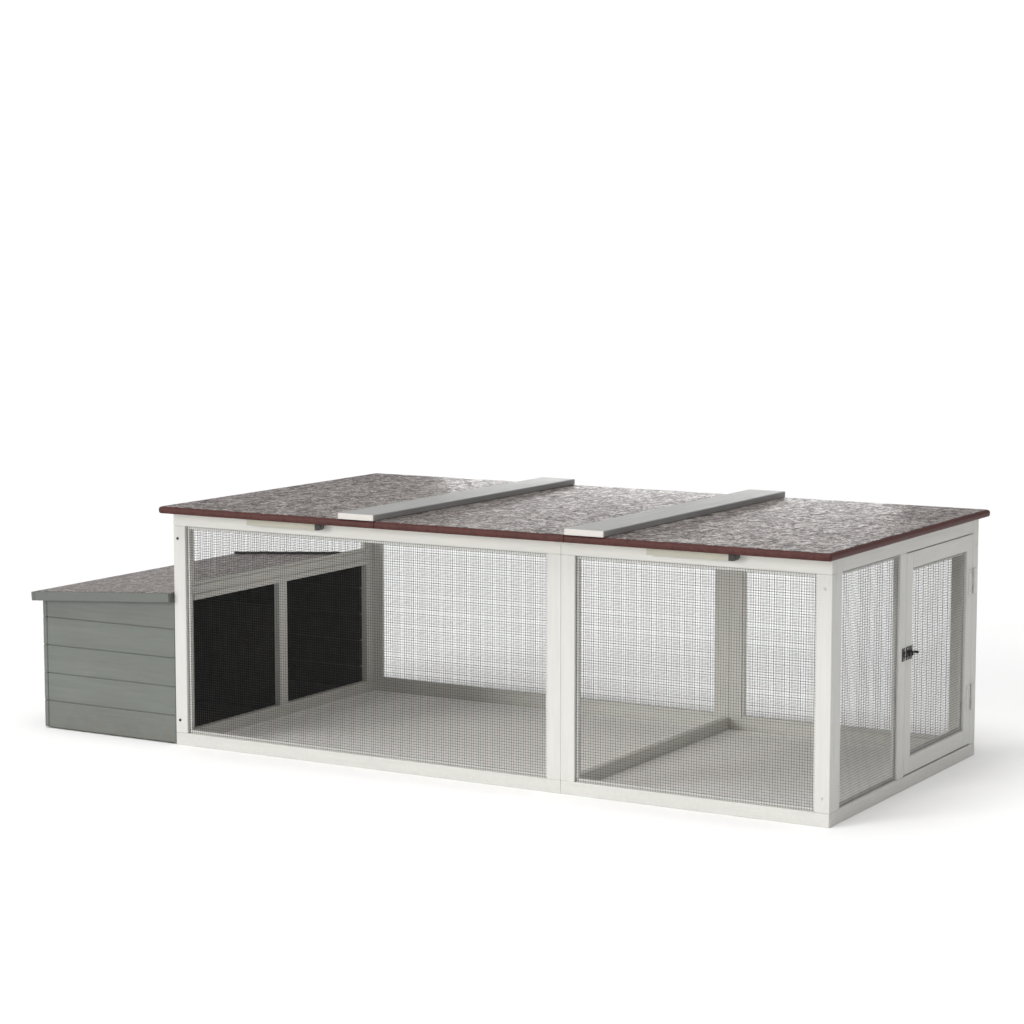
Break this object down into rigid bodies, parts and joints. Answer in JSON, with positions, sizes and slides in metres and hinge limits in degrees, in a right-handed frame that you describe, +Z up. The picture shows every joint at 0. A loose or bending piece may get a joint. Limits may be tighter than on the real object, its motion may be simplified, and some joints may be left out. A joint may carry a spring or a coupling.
{
  "type": "chicken coop",
  "caption": "Low mesh-sided poultry run on painted timber frames, with a flat felted roof that opens in lidded panels, a boarded nest box on one end and a bolted wire door on the other.",
  "frame": {"origin": "centre of the footprint on the ground", "axes": "+X to the right along the long front, away from the nest box; +Y towards the back; +Z up"},
  "size_m": [2.2248, 0.972, 0.6166],
  "materials": {
    "white_timber": "brushed warm white paint on planed softwood",
    "grey_timber": "grey-green paint on softwood boards",
    "bare_timber": "bare softwood and plywood",
    "roof_boards": "bare plywood",
    "roof_felt": "bitumen felt with mineral granules",
    "edge_strip": "dark red-brown, satin",
    "batten_timber": "pale grey paint, bare cream ends",
    "black_rubber": "black, matt",
    "wire": "galvanised, dull",
    "dark_metal": "black powder coat",
    "hinge_steel": "white powder coat",
    "screw_steel": "zinc plated, slightly tarnished"
  },
  "bodies": {
    "coop": {"back_mesh": "wire", "back_rails": "white_timber", "back_stiles": "white_timber", "bolt_keeper": "dark_metal", "door_hinge_fixed_leaves": "hinge_steel", "door_hinge_pins": "hinge_steel", "end_wall_beads": "white_timber", "floor_tie": "white_timber", "frame_screws": "screw_steel", "front_mesh": "wire", "front_rails": "white_timber", "front_stiles": "white_timber", "left_end_mesh": "wire", "left_end_rails": "white_timber", "left_end_stiles": "white_timber", "long_wall_beads": "white_timber", "middle_roof_deck": "roof_boards", "middle_roof_edge_strips": "edge_strip", "middle_roof_felt": "roof_felt", "nest_back_boards": "grey_timber", "nest_corner_posts": "bare_timber", "nest_divider": "bare_timber", "nest_end_boards": "grey_timber", "nest_floor": "bare_timber", "nest_front_boards": "grey_timber", "nest_hinge_fixed_leaves": "hinge_steel", "nest_hinge_pins": "hinge_steel", "pop_hole_header": "white_timber", "right_end_mesh": "wire", "right_end_rails": "white_timber", "right_end_stiles": "white_timber", "roof_bearers": "white_timber", "roof_hinge_fixed_leaves": "hinge_steel", "roof_hinge_pins": "hinge_steel"},
    "roof_lid_left": {"left_lid_deck": "roof_boards", "left_lid_felt": "roof_felt", "left_lid_edge_strips": "edge_strip", "left_batten": "batten_timber", "left_lid_hinge_leaves": "hinge_steel", "left_prop_bracket": "dark_metal"},
    "left_prop": {"left_prop_stick": "white_timber"},
    "roof_lid_right": {"right_lid_deck": "roof_boards", "right_lid_felt": "roof_felt", "right_lid_edge_strips": "edge_strip", "right_batten": "batten_timber", "right_lid_hinge_leaves": "hinge_steel", "right_prop_bracket": "dark_metal"},
    "right_prop": {"right_prop_stick": "white_timber"},
    "nest_lid": {"nest_lid_deck": "roof_boards", "nest_lid_felt": "roof_felt", "nest_lid_edge_boards": "grey_timber", "nest_lid_back_strip": "black_rubber", "nest_lid_hinge_leaves": "hinge_steel"},
    "end_door": {"door_stiles": "white_timber", "door_rails": "white_timber", "door_mesh": "wire", "door_beads": "white_timber", "door_hinge_leaves": "hinge_steel", "bolt_plate": "dark_metal"},
    "door_bolt": {"door_bolt": "dark_metal"}
  },
  "joints": [
    {"name": "roof_lid_left_hinge", "type": "hinge", "parent": "coop", "child": "roof_lid_left", "pos_m": [-0.36325, 0.448, 0.583], "axis": [-1, 0, 0], "range_deg": [0, 80]},
    {"name": "left_prop_swing", "type": "hinge", "parent": "roof_lid_left", "child": "left_prop", "pos_m": [-0.21625, -0.4535, 0.5765], "axis": [0, -1, 0], "range_deg": [0, 90]},
    {"name": "roof_lid_right_hinge", "type": "hinge", "parent": "coop", "child": "roof_lid_right", "pos_m": [0.78775, 0.448, 0.583], "axis": [-1, 0, 0], "range_deg": [0, 80]},
    {"name": "right_prop_swing", "type": "hinge", "parent": "roof_lid_right", "child": "right_prop", "pos_m": [0.87275, -0.4535, 0.5765], "axis": [0, -1, 0], "range_deg": [0, 90]},
    {"name": "nest_lid_hinge", "type": "hinge", "parent": "coop", "child": "nest_lid", "pos_m": [-0.67025, -0.027, 0.3873], "axis": [0, 1, 0], "range_deg": [0, 80]},
    {"name": "door_hinge", "type": "hinge", "parent": "coop", "child": "end_door", "pos_m": [1.10075, 0.407, 0.292], "axis": [0, 0, 1], "range_deg": [0, 110]},
    {"name": "door_bolt_slide", "type": "slide", "parent": "end_door", "child": "door_bolt", "axis": [0, -1, 0], "range_m": [0, 0.014]}
  ]
}
